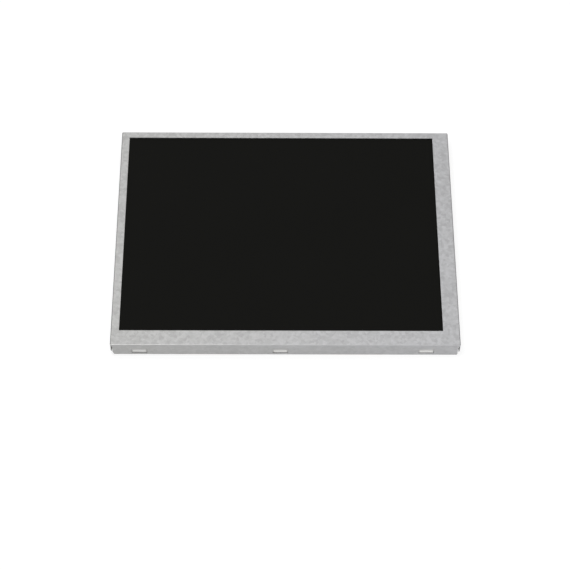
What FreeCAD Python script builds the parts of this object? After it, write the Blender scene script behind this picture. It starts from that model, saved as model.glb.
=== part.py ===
"""A small flat-panel display module with its circuit board, 5.7 inches across the picture.

A folded steel bezel snaps over a moulded frame. Between them lie the glass panel, the light-guide
backlight and, on the back, a steel plate that carries the circuit board. Two flexible circuits fold
round the lower edge from the glass to the board, and a flat socket with a locking slider connects
the module to the device that it is built into.

Millimetres. X runs right along the long side, Y runs up the picture and Z comes out of the screen.
The origin is at the middle of the outline, on the plane of the rear rim that the module lies on.
"""

import FreeCAD
import Part

import math
import os

V = FreeCAD.Vector

# How far a cutting block runs past the face that it opens
overrun = 1.0

# Picture and borders
active_width = 115.2
active_height = 86.4
window_side_margin = 1.35
window_end_margin = 1.5
left_border = 3.0
right_border = 6.1
top_border = 2.75
bottom_border = 6.35

# Thickness of each layer, from the rear rim to the face of the bezel
part_space = 1.2
board_thick = 0.6
insulator_thick = 0.1
plate_sheet = 0.3
reflector_thick = 0.15
guide_thick = 1.5
film_thick = 0.15
lip_thick = 0.4
rim_tape_thick = 0.1
glass_thick = 0.5
polariser_thick = 0.2
cushion_thick = 0.1
bezel_sheet = 0.3

# Bezel
bezel_bend = 0.35
bezel_inner_ease = 0.05
bezel_corner = 0.7
flange_lift = 0.35
left_slit = 0.4
right_slit = 0.55
slit_below_face = 0.8
long_side_cuts = [(0.55, 1.7), (0.25, 0.8)]
short_side_cuts = [(1.0, 2.6), (1.0, 2.6)]
slot_length = 5.6
slot_low = 1.35
slot_high = 3.75
left_slot_from_picture_end = 6.15
middle_slot_left_of_centre = 0.25
right_slot_from_picture_end = 4.85
short_side_slot_from_picture_end = 15.2

# Moulded frame
frame_gap = 0.1
frame_top_gap = 0.05
frame_top_chamfer = 0.2
pocket_wall = 0.6
rim_wall = 0.9
lip_opening_margin = 1.6
guide_margin = 2.05
rim_corner = 2.4
lug_side_clearance = 0.35
lug_drop = 0.45
lug_top_clearance = 0.05
lug_recess = 0.02
lug_ramp = 0.7
nib_length = 5.0
nib_reach = 0.4
nib_depth = 0.5
stake_radius = 0.7
stake_head_radius = 1.2
stake_tip_radius = 0.7
stake_head_depth = 0.5
stake_inset = 2.0
stake_from_picture_end = 14.4

# Glass panel
glass_clearance = 0.2
gate_ledge = 3.5
source_ledge = 3.7
polariser_inset = 0.5
rear_polariser_margin = 1.3
tape_inset = 0.2
cushion_inset = 0.1
cushion_from_window = 0.35
driver_thick = 0.35
source_driver_length = 17.0
source_driver_width = 1.2
gate_driver_length = 13.0
gate_driver_width = 1.1
gate_driver_from_picture_end = 22.2
driver_setback = 1.3

# Flexible circuits
flex_thick = 0.12
flex_width = 22.0
flex_from_board_end = 28.0
flex_bend = 0.5
flex_bond = 1.3
flex_to_bezel = 0.3
flex_side_room = 0.8
flex_on_board = 3.6

# Backlight
led_count = 18
led_from_picture_end = 4.9
led_length = 3.6
led_depth = 1.2
led_height = 0.8
led_gap = 0.1
strip_from_picture_end = 1.6
strip_skirt = 0.5
strip_room = 0.1
tail_width = 6.0
tail_bend = 0.4
tail_to_rim = 0.5
tail_on_board = 2.2
tail_side_room = 0.6
guide_ear_length = 3.0
guide_ear_reach = 0.7
guide_ear_from_lower_edge = 6.0
pocket_clearance = 0.1

# Rear plate
plate_clearance = 0.2
bead_width = 5.0
bead_depth = 0.3
bead_slope = 0.35
bead_from_picture_end = 11.6
bead_wall = 0.12
bead_pitch = 24.0
bead_count = 2
bead_first_above_board = 17.0
hook_width = 4.0
hook_bend = 0.3
hook_foot = 1.4
hook_gap = 0.15
hook_from_board_end = 15.0

# Circuit board
board_from_picture_end = 3.6
board_height = 27.6
board_edge_gap = 0.3
board_corner = 0.6
insulator_margin = 0.8
insulator_inset = 0.2
screw_inset_x = 2.5
screw_inset_y = 1.4
screw_radius = 0.8
screw_head_radius = 1.3
screw_head_tip_radius = 1.0
screw_head_depth = 0.7
screw_bite = 1.8
screw_hole_clearance = 0.12
screw_pilot_clearance = 0.02
boss_side = 3.4
boss_clearance = 0.2
screw_drive_width = 0.3
screw_drive_length = 1.5
screw_drive_depth = 0.35

# Flat socket, forty ways on a half-millimetre pitch
socket_ways = 40
way_pitch = 0.5
socket_from_board_middle = 9.5
socket_height = 1.1
socket_depth = 3.8
socket_wall = 0.2
socket_rear_wall = 0.8
contact_setback = 0.6
socket_from_board_edge = 1.3
mouth_side_room = 0.6
cheek_width = 1.5
contact_width = 0.2
contact_slot_clearance = 0.03
contact_stock = 0.12
contact_tail = 0.7
slider_travel = 1.2
slider_gap = 0.06
slider_bar = 1.0
slider_bar_low = 0.6
slider_tongue_thick = 0.25
slider_tongue_length = 2.0
slider_arm_width = 0.6
slider_arm_low = 0.1
slider_arm_high = 1.0
slider_hook_reach = 0.4
slider_hook_length = 0.5
slider_hook_y = 1.3
solder_tab_length = 1.0
solder_tab_reach = 0.9
solder_tab_stock = 0.15
solder_tab_height = 0.7

# Parts on the board
controller_side = 10.0
controller_thick = 0.95
controller_lead_count = 11
controller_lead_pitch = 0.8
lead_width = 0.3
lead_reach = 1.0
lead_stock = 0.13
lead_foot = 0.45
chip_standoff = 0.1
chip_draft = 0.12
inductor_side = 4.0
inductor_height = 1.0
inductor_corner = 0.8
inductor_groove_radius = 1.45
inductor_groove_width = 0.25
inductor_groove_depth = 0.15
converter_size = (5.0, 4.4, 0.9)
converter_lead_count = 7
converter_lead_pitch = 0.65
regulator_size = (2.9, 1.6, 0.9)
regulator_lead_count = 3
regulator_lead_pitch = 0.95
capacitor_size = (1.6, 0.8, 0.8)
big_capacitor_size = (3.2, 1.6, 1.0)
resistor_size = (1.0, 0.5, 0.35)
end_cap_share = 0.2
solder_gap = 0.02

# Places on the board: how far across, as a share of its half width, and how far up in millimetres
controller_place = (-0.48, 15.0)
converter_place = (0.61, 17.0)
regulator_place = (0.82, 9.0)
inductor_places = [(0.61, 10.5), (0.88, 15.0)]

# Rows of small parts: kind, first place, way the row runs, its length and its pitch
part_rows = [
    ("capacitor", (-0.67, 5.6), "across", 19.2, 2.4),
    ("capacitor", (0.31, 5.6), "across", 19.2, 2.4),
    ("capacitor", (-0.17, 10.5), "up", 7.2, 2.4),
    ("capacitor", (-0.86, 9.0), "up", 12.0, 2.4),
    ("big_capacitor", (0.42, 13.0), "up", 7.8, 2.6),
    ("big_capacitor", (0.75, 18.0), "up", 5.2, 2.6),
    ("resistor", (-0.67, 22.6), "across", 9.6, 1.6),
    ("resistor", (-0.3, 11.0), "up", 8.0, 1.6),
    ("resistor", (0.04, 17.8), "across", 14.4, 1.6),
]

# Levels, worked out from the layers
board_low = part_space
board_top = board_low + board_thick
plate_low = board_top + insulator_thick
plate_top = plate_low + plate_sheet
guide_low = plate_top + reflector_thick
guide_top = guide_low + guide_thick
lip_low = guide_top + 3 * film_thick
shelf_top = lip_low + lip_thick
glass_low = shelf_top + rim_tape_thick
glass_mid = glass_low + glass_thick
glass_top = glass_mid + glass_thick
polariser_top = glass_top + polariser_thick
bezel_low = polariser_top + cushion_thick
front = bezel_low + bezel_sheet

# Outline, window and picture in plan, each as (left, right, bottom, top)
window_width = active_width + 2 * window_side_margin
window_height = active_height + 2 * window_end_margin
module_width = left_border + window_width + right_border
module_height = bottom_border + window_height + top_border
outline = (-module_width / 2, module_width / 2, -module_height / 2, module_height / 2)
window = (
    outline[0] + left_border,
    outline[1] - right_border,
    outline[2] + bottom_border,
    outline[3] - top_border,
)


def grow(area, margin):
    """A plan area with every side moved out by a margin, or in by a negative one."""
    left, right, bottom, top = area
    return (left - margin, right + margin, bottom - margin, top + margin)


active = (
    window[0] + window_side_margin,
    window[1] - window_side_margin,
    window[2] + window_end_margin,
    window[3] - window_end_margin,
)
centre_x = (active[0] + active[1]) / 2
frame_area = grow(outline, -bezel_sheet - frame_gap)
pocket_area = grow(frame_area, -pocket_wall)
tft_area = grow(pocket_area, -glass_clearance)
colour_area = (tft_area[0], tft_area[1] - gate_ledge, tft_area[2] + source_ledge, tft_area[3])
lip_area = grow(active, lip_opening_margin)
guide_area = grow(active, guide_margin)
led_back = guide_area[2] - led_gap - led_depth
cavity_area = (
    guide_area[0] - pocket_clearance,
    guide_area[1] + pocket_clearance,
    led_back - pocket_clearance,
    guide_area[3] + pocket_clearance,
)
rim_area = grow(frame_area, -rim_wall)
plate_area = grow(rim_area, -plate_clearance)
board_area = (
    active[0] + board_from_picture_end,
    active[1] - board_from_picture_end,
    rim_area[2] + board_edge_gap,
    rim_area[2] + board_edge_gap + board_height,
)
strip_area = (
    active[0] + strip_from_picture_end,
    active[1] - strip_from_picture_end,
    led_back - strip_skirt,
    guide_area[2] - led_gap / 2,
)
tail_y = rim_area[2] + tail_to_rim
flex_y = outline[2] + bezel_sheet + flex_to_bezel
long_side_slots = [
    active[0] + left_slot_from_picture_end,
    centre_x - middle_slot_left_of_centre,
    active[1] - right_slot_from_picture_end,
]
slot_inset = short_side_slot_from_picture_end
short_side_slots = [active[2] + slot_inset, active[3] - slot_inset]
flex_centres = [board_area[0] + flex_from_board_end, board_area[1] - flex_from_board_end]
screw_y = board_area[2] + screw_inset_y
screw_centres = [board_area[0] + screw_inset_x, board_area[1] - screw_inset_x]
tail_x = (screw_centres[0] + flex_centres[0] - flex_width / 2) / 2
hook_centres = [board_area[0] + hook_from_board_end, board_area[1] - hook_from_board_end]
stake_x = rim_area[1] - stake_inset
stake_centres = [active[2] + stake_from_picture_end, active[3] - stake_from_picture_end]
gate_driver_inset = gate_driver_from_picture_end
gate_driver_centres = [active[2] + gate_driver_inset, active[3] - gate_driver_inset]
bead_length = active_width - 2 * bead_from_picture_end


# Shapes used throughout


def slab(area, low, high):
    """A flat block over a plan area."""
    left, right, bottom, top = area
    return Part.makeBox(right - left, top - bottom, high - low, V(left, bottom, low))


def rounded_slab(area, low, high, radius):
    """A flat block over a plan area, with its upright corners rounded."""
    block = slab(area, low, high)
    upright = [edge for edge in block.Edges if abs(edge.Length - (high - low)) < 1e-6]
    return block.makeFillet(radius, upright)


def top_edges(block):
    """The edges that bound a block's top face."""
    return [
        edge
        for edge in block.Edges
        if all(abs(vertex.Z - block.BoundBox.ZMax) < 1e-6 for vertex in edge.Vertexes)
    ]


def ring(outer, inner, low, high):
    """A flat frame between two plan areas."""
    return slab(outer, low, high).cut(slab(inner, low, high))


def about(x, y, width, height):
    """The plan area of a given size about a point."""
    return (x - width / 2, x + width / 2, y - height / 2, y + height / 2)


def peg(x, y, radius, low, high):
    """An upright round bar."""
    return Part.makeCylinder(radius, high - low, V(x, y, low))


def side_profile(points, length, middle=0.0):
    """A closed outline of (y, z) points drawn out along X about the given middle."""
    corners = [V(middle - length / 2, y, z) for y, z in points]
    face = Part.Face(Part.makePolygon(corners + corners[:1]))
    return face.extrude(V(length, 0, 0))


def folded_strip(route, bend, thick, length, middle=0.0):
    """A strip that follows a route of (y, z) points, with round bends, drawn out along X."""
    points = [V(0, y, z) for y, z in route]
    ways = [(b - a).normalize() for a, b in zip(points, points[1:])]
    sides = []
    for offset in (thick / 2, -thick / 2):
        edges = []
        start = points[0] + V(0, -ways[0].z, ways[0].y) * offset
        for corner, before, after in zip(points[1:], ways, ways[1:]):
            turn = before.y * after.z - before.z * after.y
            setback = bend * math.tan(math.asin(abs(turn)) / 2)
            hand = math.copysign(1.0, turn)
            centre = corner - before * setback + V(0, -before.z, before.y) * hand * bend
            radius = bend - hand * offset
            first = centre + V(0, before.z, -before.y) * hand * radius
            last = centre + V(0, after.z, -after.y) * hand * radius
            middle_way = (first + last - centre * 2).normalize()
            edges.append(Part.LineSegment(start, first).toShape())
            edges.append(Part.Arc(first, centre + middle_way * radius, last).toShape())
            start = last
        end = points[-1] + V(0, -ways[-1].z, ways[-1].y) * offset
        edges.append(Part.LineSegment(start, end).toShape())
        sides.append((edges, end))
    (upper, upper_end), (lower, lower_end) = sides
    starts = [points[0] + V(0, -ways[0].z, ways[0].y) * (side * thick / 2) for side in (1, -1)]
    caps = [
        Part.LineSegment(starts[0], starts[1]).toShape(),
        Part.LineSegment(upper_end, lower_end).toShape(),
    ]
    outline_edges = Part.__sortEdges__(upper + lower + caps)
    strip = Part.Face(Part.Wire(outline_edges)).extrude(V(length, 0, 0))
    strip.translate(V(middle - length / 2, 0, 0))
    return strip


def turned(shape, quarter_turns):
    """A copy turned about the Z axis by a number of quarter turns."""
    copy = shape.copy()
    copy.rotate(V(0, 0, 0), V(0, 0, 1), 90 * quarter_turns)
    return copy


def joined(shapes):
    """Several overlapping shapes as one solid, with flush faces merged."""
    first, *rest = shapes
    return first.fuse(rest).removeSplitter()


def each_side():
    """(quarter turns, half depth, half length, slot places) of each side of the outline."""
    long_way = (module_height / 2, module_width / 2)
    short_way = (module_width / 2, module_height / 2)
    return [
        (0, *long_way, long_side_slots),
        (1, *short_way, short_side_slots),
        (2, *long_way, [-x for x in long_side_slots]),
        (3, *short_way, [-y for y in short_side_slots]),
    ]


# Bezel


def bent_along(way):
    """The bezel's outer block, with the round bends of the two sides that run one way."""
    block = slab(outline, flange_lift, front)
    bends = [edge for edge in top_edges(block) if abs(edge.tangentAt(0).dot(way)) > 0.5]
    return block.makeFillet(bezel_bend, bends)


def flange_end_cut(half_depth, end, hand, along, up):
    """The wedge that slants off a flange's lower corner, drawn at the lower edge."""
    corner = [
        V(end + hand * overrun, -half_depth - overrun, flange_lift - overrun),
        V(end + hand * overrun, -half_depth - overrun, flange_lift + up),
        V(end, -half_depth - overrun, flange_lift + up),
        V(end - hand * along, -half_depth - overrun, flange_lift),
        V(end - hand * along, -half_depth - overrun, flange_lift - overrun),
    ]
    wedge = Part.Face(Part.makePolygon(corner + corner[:1]))
    return wedge.extrude(V(0, overrun + bezel_sheet + frame_gap / 2, 0))


def flange_openings(turns, half_depth, half_length, places):
    """Slits, slanted ends and snap slots of one flange, drawn at the lower edge."""
    inner = half_length - bezel_sheet
    ends = [-inner, inner]
    end_cuts = short_side_cuts
    cuts = []
    if turns % 2 == 0:
        ends = [-inner + left_slit, inner - right_slit]
        end_cuts = long_side_cuts
        corner = (-half_depth - overrun, -half_depth + bezel_corner)
        slit_top = front - slit_below_face
        cuts.append(slab((-inner, ends[0], *corner), 0, slit_top))
        cuts.append(slab((ends[1], inner, *corner), 0, slit_top))
    for end, hand, (along, up) in zip(ends, (-1, 1), end_cuts):
        cuts.append(flange_end_cut(half_depth, end, hand, along, up))
    for place in places:
        half = slot_length / 2
        sheet = (-half_depth - overrun, -half_depth + bezel_sheet)
        cuts.append(slab((place - half, place + half, *sheet), slot_low, slot_high))
    return cuts


def front_bezel():
    """Pressed steel: a flat face with the window, and flanges with slits and snap slots."""
    tray = rounded_slab(outline, flange_lift, front, bezel_corner)
    for way in (V(1, 0, 0), V(0, 1, 0)):
        tray = tray.common(bent_along(way))
    inner_area = grow(outline, -bezel_sheet)
    hollow = rounded_slab(inner_area, 0, bezel_low, bezel_corner - bezel_sheet)
    hollow = hollow.makeChamfer(bezel_inner_ease, top_edges(hollow))
    cuts = [hollow, slab(window, 0, front)]
    for turns, half_depth, half_length, places in each_side():
        openings = flange_openings(turns, half_depth, half_length, places)
        cuts += [turned(opening, turns) for opening in openings]
    return tray.cut(cuts).removeSplitter()


# Moulded frame


def snap_lug(half_depth, place):
    """A ramped lug that stands out of the frame into a slot of the bezel."""
    wall = -half_depth + bezel_sheet + frame_gap
    tip = -half_depth + lug_recess
    low = slot_low + lug_drop
    high = slot_high - lug_top_clearance
    points = [(wall + frame_gap, low), (tip, low), (tip, high - lug_ramp), (wall + frame_gap, high)]
    return side_profile(points, slot_length - 2 * lug_side_clearance, place)


def retaining_nib(place):
    """A small catch on the rear rim that holds the plate's edge, drawn at the lower edge."""
    points = [
        (-frame_gap, plate_low),
        (nib_reach, plate_low),
        (-frame_gap, plate_low - nib_depth),
    ]
    return side_profile(points, nib_length, place)


def frame_blank():
    """The frame's outer block, eased to clear the bezel's bends, with its rear corners cut back."""
    corner = bezel_corner - bezel_sheet - frame_gap
    head = rounded_slab(frame_area, lip_low, bezel_low - frame_top_gap, corner)
    head = head.makeChamfer(frame_top_chamfer, top_edges(head))
    return head.fuse(rounded_slab(frame_area, 0, lip_low, rim_corner))


def frame_openings():
    """Everything that is hollow in the frame."""
    notch_back = tft_area[2]
    cuts = [
        slab(pocket_area, shelf_top, front),
        slab(lip_area, lip_low, front),
        slab(cavity_area, plate_top, lip_low),
        rounded_slab(rim_area, -overrun, plate_top, rim_corner - rim_wall),
        slab(grow(strip_area, strip_room), plate_top, plate_top + flex_thick + strip_room),
        slab(guide_ears_area(pocket_clearance), plate_top, lip_low),
    ]
    tail_channel = (
        tail_x - tail_width / 2 - strip_room,
        tail_x + tail_width / 2 + strip_room,
        tail_y - flex_thick,
        strip_area[2],
    )
    cuts.append(slab(tail_channel, plate_top, plate_top + flex_thick + strip_room))
    for x in flex_centres:
        left = x - flex_width / 2 - flex_side_room
        right = x + flex_width / 2 + flex_side_room
        wall = flex_y + flex_thick
        cuts.append(slab((left, right, outline[2], wall), -overrun, front))
        rim_notch = (left, right, outline[2], rim_area[2] + frame_gap)
        cuts.append(slab(rim_notch, -overrun, plate_top))
        cuts.append(slab((left, right, outline[2], notch_back), shelf_top, front))
    return cuts


def guide_ears_area(room):
    """The plan area over both ears of the light guide, with some room round it."""
    low = guide_area[2] + guide_ear_from_lower_edge
    return (
        guide_area[0] - guide_ear_reach - room,
        guide_area[1] + guide_ear_reach + room,
        low - room,
        low + guide_ear_length + room,
    )


def screw_boss(x):
    """A square boss that carries the circuit board through the rear plate's notch."""
    half = boss_side / 2
    return slab((x - half, x + half, rim_area[2], screw_y + half), board_top, plate_top)


def pilot_hole(x):
    """The blind hole that a board screw bites into."""
    radius = screw_radius + screw_pilot_clearance
    return peg(x, screw_y, radius, board_top, plate_top + screw_bite + frame_gap)


def heat_stake(y):
    """A post that passes through the rear plate and is melted into a low head behind it."""
    post = peg(stake_x, y, stake_radius, plate_low, plate_top + frame_top_gap)
    tip = V(stake_x, y, plate_low - stake_head_depth)
    head = Part.makeCone(stake_tip_radius, stake_head_radius, stake_head_depth, tip)
    return post.fuse(head)


def mould_frame():
    """White moulded frame: glass pocket, lip over the films, backlight cavity and rear rim."""
    frame = frame_blank().cut(frame_openings())
    parts = [frame]
    for turns, half_depth, _, places in each_side():
        parts += [turned(snap_lug(half_depth, place), turns) for place in places]
    for place in [-x for x in long_side_slots]:
        nib = retaining_nib(place)
        nib.translate(V(0, -rim_area[3], 0))
        parts.append(turned(nib, 2))
    for place in [-y for y in short_side_slots]:
        nib = retaining_nib(place)
        nib.translate(V(0, rim_area[0], 0))
        parts.append(turned(nib, 3))
    parts += [heat_stake(y) for y in stake_centres]
    parts += [screw_boss(x) for x in screw_centres]
    return joined(parts).cut([pilot_hole(x) for x in screw_centres])


# Glass panel


def glass_panel():
    """The two glasses, their polarisers and the tapes above and below them."""
    polariser_area = grow(colour_area, -polariser_inset)
    tape_outer = grow(tft_area, -tape_inset)
    tape_inner = grow(lip_area, tape_inset)
    cushion_outer = grow(polariser_area, -cushion_inset)
    return {
        "thin_film_glass": slab(tft_area, glass_low, glass_mid),
        "colour_filter_glass": slab(colour_area, glass_mid, glass_top),
        "front_polariser": slab(polariser_area, glass_top, polariser_top),
        "rear_polariser": slab(
            grow(active, rear_polariser_margin), glass_low - polariser_thick, glass_low
        ),
        "panel_rim_tape": ring(tape_outer, tape_inner, shelf_top, glass_low),
        "bezel_cushion": ring(
            cushion_outer, grow(window, cushion_from_window), polariser_top, bezel_low
        ),
    }


def driver_chips():
    """Bare driver chips bonded to the ledges of the lower glass, beside the colour glass."""
    top = glass_mid + driver_thick
    source_y = colour_area[2] - driver_setback
    gate_x = colour_area[1] + driver_setback
    source = [
        slab(about(x, source_y, source_driver_length, source_driver_width), glass_mid, top)
        for x in flex_centres
    ]
    gate = [
        slab(about(gate_x, y, gate_driver_width, gate_driver_length), glass_mid, top)
        for y in gate_driver_centres
    ]
    return {
        "source_driver_chips": Part.makeCompound(source),
        "gate_driver_chips": Part.makeCompound(gate),
    }


def panel_flex(x):
    """A flexible circuit from the glass ledge, round the lower edge, to the circuit board."""
    glass_z = glass_mid + flex_thick / 2
    board_z = board_low - flex_thick / 2
    route = [
        (tft_area[2] + flex_bond, glass_z),
        (flex_y, glass_z),
        (flex_y, board_z),
        (board_area[2] + flex_on_board, board_z),
    ]
    return folded_strip(route, flex_bend, flex_thick, flex_width, x)


# Backlight


def light_guide():
    """Clear light guide, with an ear on each short side that keys it into the frame."""
    plate = slab(guide_area, guide_low, guide_top)
    return joined([plate, slab(guide_ears_area(0), guide_low, guide_top)])


def backlight():
    """Light guide, its films and reflector, and the strip of side-lighting emitters."""
    film_area = grow(guide_area, -pocket_clearance)
    films = ["diffuser_film", "lower_prism_film", "upper_prism_film"]
    nodes = {
        name: slab(
            film_area,
            guide_top + level * film_thick,
            guide_top + (level + 1) * film_thick,
        )
        for level, name in enumerate(films)
    }
    nodes["light_guide"] = light_guide()
    nodes["reflector_sheet"] = slab(guide_area, plate_top, guide_low)
    span = active_width - 2 * led_from_picture_end
    led_pitch = span / (led_count - 1)
    low = plate_top + flex_thick
    leds = []
    for index in range(led_count):
        x = centre_x - span / 2 + index * led_pitch
        area = about(x, led_back + led_depth / 2, led_length, led_depth)
        leds.append(slab(area, low, low + led_height))
    nodes["backlight_leds"] = Part.makeCompound(leds)
    strip_z = plate_top + flex_thick / 2
    tail_route = [
        (strip_area[3], strip_z),
        (tail_y, strip_z),
        (tail_y, board_low - flex_thick / 2),
        (board_area[2] + tail_on_board, board_low - flex_thick / 2),
    ]
    tail = folded_strip(tail_route, tail_bend, flex_thick, tail_width, tail_x)
    strip = slab(strip_area, plate_top, plate_top + flex_thick)
    nodes["led_strip_flex"] = joined([strip, tail])
    return nodes


# Rear plate


def bead(y, shrink, base, tip):
    """A sloping-sided ridge with round ends for a pressed bead, between its two levels."""
    base_radius = (bead_width - shrink) / 2
    tip_radius = base_radius - bead_slope
    half = (bead_length - bead_width) / 2
    section = [(y - base_radius, base), (y + base_radius, base), (y + tip_radius, tip)]
    section.append((y - tip_radius, tip))
    middle = side_profile(section, 2 * half, centre_x)
    depth = abs(base - tip)
    ends = [
        Part.makeCone(tip_radius, base_radius, depth, V(centre_x + side * half, y, tip))
        for side in (-1, 1)
    ]
    return joined([middle] + ends)


def board_hook(x):
    """A tongue cut out of the plate and bent round the board's upper edge."""
    sheet_z = plate_low + plate_sheet / 2
    leg_y = board_area[3] + hook_gap + plate_sheet / 2
    foot_z = board_low - hook_gap - plate_sheet / 2
    foot_y = board_area[3] - hook_foot
    route = [
        (leg_y - 2 * hook_bend, sheet_z),
        (leg_y, sheet_z),
        (leg_y, foot_z),
        (foot_y, foot_z),
    ]
    return folded_strip(route, hook_bend, plate_sheet, hook_width, x)


def rear_plate():
    """Pressed steel plate with stiffening beads, two board hooks and holes for what holds it."""
    corner = rim_corner - rim_wall - plate_clearance
    plate = rounded_slab(plate_area, plate_low, plate_top, corner)
    beads = [board_area[3] + bead_first_above_board + i * bead_pitch for i in range(bead_count)]
    ridges = [bead(y, 0, plate_low, plate_low - bead_depth) for y in beads]
    hollows = [bead(y, 2 * bead_wall, plate_top, plate_top - bead_depth) for y in beads]
    leg_y = board_area[3] + hook_gap
    tongue = board_low - hook_gap - plate_sheet
    tongue_length = plate_low - tongue + hook_foot + hook_gap
    for x in hook_centres:
        left = x - hook_width / 2 - plate_sheet
        right = x + hook_width / 2 + plate_sheet
        hollows.append(slab((left, right, leg_y, leg_y + tongue_length), plate_low, plate_top))
    hollows += [slab(boss_notch(x), plate_low, plate_top) for x in screw_centres]
    for y in stake_centres:
        hollows.append(peg(stake_x, y, stake_radius + frame_gap, plate_low, plate_top))
    hollows.append(slab(tail_notch(plate_area), plate_low, plate_top))
    plate = joined([plate] + ridges).cut(hollows)
    return joined([plate] + [board_hook(x) for x in hook_centres])


def boss_notch(x):
    """The notch at a lower edge that lets a screw boss of the frame past."""
    half = boss_side / 2 + boss_clearance
    return (x - half, x + half, rim_area[2] - overrun, screw_y + half)


def tail_notch(area):
    """The notch at a lower edge that lets the backlight's tail fold past it."""
    half = tail_width / 2 + tail_side_room
    depth = tail_y + tail_bend + flex_thick
    return (tail_x - half, tail_x + half, area[2] - overrun, depth)


# Circuit board and what is soldered to it


def control_board():
    """Circuit board with eased corners, a notch for the backlight's tail and screw holes."""
    board = slab(board_area, board_low, board_top)
    corners = [edge for edge in board.Edges if abs(edge.Length - board_thick) < 1e-6]
    board = board.makeChamfer(board_corner, corners)
    radius = screw_radius + screw_hole_clearance
    holes = [peg(x, screw_y, radius, board_low, board_top) for x in screw_centres]
    return board.cut([slab(tail_notch(board_area), board_low, board_top)] + holes)


def insulating_sheet():
    """Thin film between the circuit board and the steel plate."""
    left, right, bottom, top = board_area
    area = (left - insulator_margin, right + insulator_margin, bottom, top - insulator_inset)
    notches = [tail_notch(board_area)] + [boss_notch(x) for x in screw_centres]
    sheet = slab(area, board_top, plate_low)
    return sheet.cut([slab(notch, board_top, plate_low) for notch in notches])


def board_screw(x):
    """A small pan-head screw with a cross recess, driven from the back into the frame."""
    low = board_low - screw_head_depth
    tip = V(x, screw_y, low)
    head = Part.makeCone(screw_head_tip_radius, screw_head_radius, screw_head_depth, tip)
    shank = peg(x, screw_y, screw_radius, board_low, plate_top + screw_bite)
    across = about(x, screw_y, screw_drive_length, screw_drive_width)
    along = about(x, screw_y, screw_drive_width, screw_drive_length)
    recess = [slab(area, low, low + screw_drive_depth) for area in (across, along)]
    return joined([head, shank]).cut(recess)


def on_board(shape, x, y, quarter_turns=0):
    """A part drawn with its feet at zero and its top up, set on the rear face of the board."""
    placed = turned(shape, quarter_turns)
    placed.rotate(V(0, 0, 0), V(0, 1, 0), 180)
    placed.translate(V(x, y, board_low))
    return placed


def board_point(place):
    """The X and Y of a place on the board."""
    across, up = place
    half_width = (board_area[1] - board_area[0]) / 2
    return (board_area[0] + board_area[1]) / 2 + across * half_width, board_area[2] + up


def gull_lead(edge, height):
    """Outline of a bent lead, from a package side at the given Y down to the board."""
    half_stock = lead_stock / 2
    toe = edge + lead_reach
    heel = toe - lead_foot
    return [
        (edge, height + half_stock),
        (heel, height + half_stock),
        (heel + lead_stock, lead_stock),
        (toe, lead_stock),
        (toe, 0),
        (heel, 0),
        (heel - half_stock, height - half_stock),
        (edge, height - half_stock),
    ]


def rectangle(width, depth, z):
    """A closed rectangular wire about the Z axis."""
    x = width / 2
    y = depth / 2
    return Part.makePolygon([V(-x, -y, z), V(x, -y, z), V(x, y, z), V(-x, y, z), V(-x, -y, z)])


def chip_package(size, lead_count, pitch, sides):
    """(body, leads) of a moulded chip, with leads on two opposite sides or on all four."""
    width, depth, thick = size
    draft = 2 * thick * chip_draft
    middle = chip_standoff + thick / 2
    waist = rectangle(width, depth, middle)
    halves = []
    for level in (chip_standoff, chip_standoff + thick):
        end = rectangle(width - draft, depth - draft, level)
        halves.append(Part.makeLoft([waist, end], True, True))
    body = halves[0].fuse(halves[1])
    bars = []
    for turns in range(4):
        if turns % 2 == 1 and sides == 2:
            continue
        edge = (depth if turns % 2 == 0 else width) / 2
        for index in range(lead_count):
            place = (index - (lead_count - 1) / 2) * pitch
            bar = side_profile(gull_lead(edge, middle), lead_width, place)
            bars.append(turned(bar, turns))
    return body, Part.makeCompound(bars)


def passive(size):
    """(body, end caps) of a chip capacitor or resistor lying along X."""
    length, width, height = size
    cap = length * end_cap_share
    middle = about(0, 0, length - 2 * cap, width - 2 * solder_gap)
    body = slab(middle, solder_gap, height - solder_gap)
    cap_x = (length - cap) / 2
    caps = [slab(about(side * cap_x, 0, cap, width), 0, height) for side in (-1, 1)]
    return body, Part.makeCompound(caps)


def board_chips():
    """The display controller and the two converter chips, with their leads."""
    controller_size = (controller_side, controller_side, controller_thick)
    controller = chip_package(controller_size, controller_lead_count, controller_lead_pitch, 4)
    converter = chip_package(converter_size, converter_lead_count, converter_lead_pitch, 2)
    regulator = chip_package(regulator_size, regulator_lead_count, regulator_lead_pitch, 2)
    chips = [
        (controller, controller_place, 0),
        (converter, converter_place, 0),
        (regulator, regulator_place, 1),
    ]
    bodies = [on_board(body, *board_point(place), turns) for (body, _), place, turns in chips]
    leads = [on_board(bars, *board_point(place), turns) for (_, bars), place, turns in chips]
    return {
        "display_controller": bodies[0],
        "converter_chips": Part.makeCompound(bodies[1:]),
        "chip_leads": Part.makeCompound([bar for group in leads for bar in group.Solids]),
    }


def small_parts():
    """Chip capacitors, chip resistors and their soldered end caps."""
    kinds = {
        "capacitor": passive(capacitor_size),
        "big_capacitor": passive(big_capacitor_size),
        "resistor": passive(resistor_size),
    }
    bodies = {"capacitor": [], "big_capacitor": [], "resistor": []}
    caps = []
    for kind, first, way, row_length, pitch in part_rows:
        body, ends = kinds[kind]
        x, y = board_point(first)
        for index in range(round(row_length / pitch) + 1):
            along = index * pitch
            place = (x + along, y, 1) if way == "across" else (x, y + along, 0)
            bodies[kind].append(on_board(body, *place))
            caps += on_board(ends, *place).Solids
    return {
        "chip_capacitors": Part.makeCompound(bodies["capacitor"] + bodies["big_capacitor"]),
        "chip_resistors": Part.makeCompound(bodies["resistor"]),
        "part_end_caps": Part.makeCompound(caps),
    }


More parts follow.
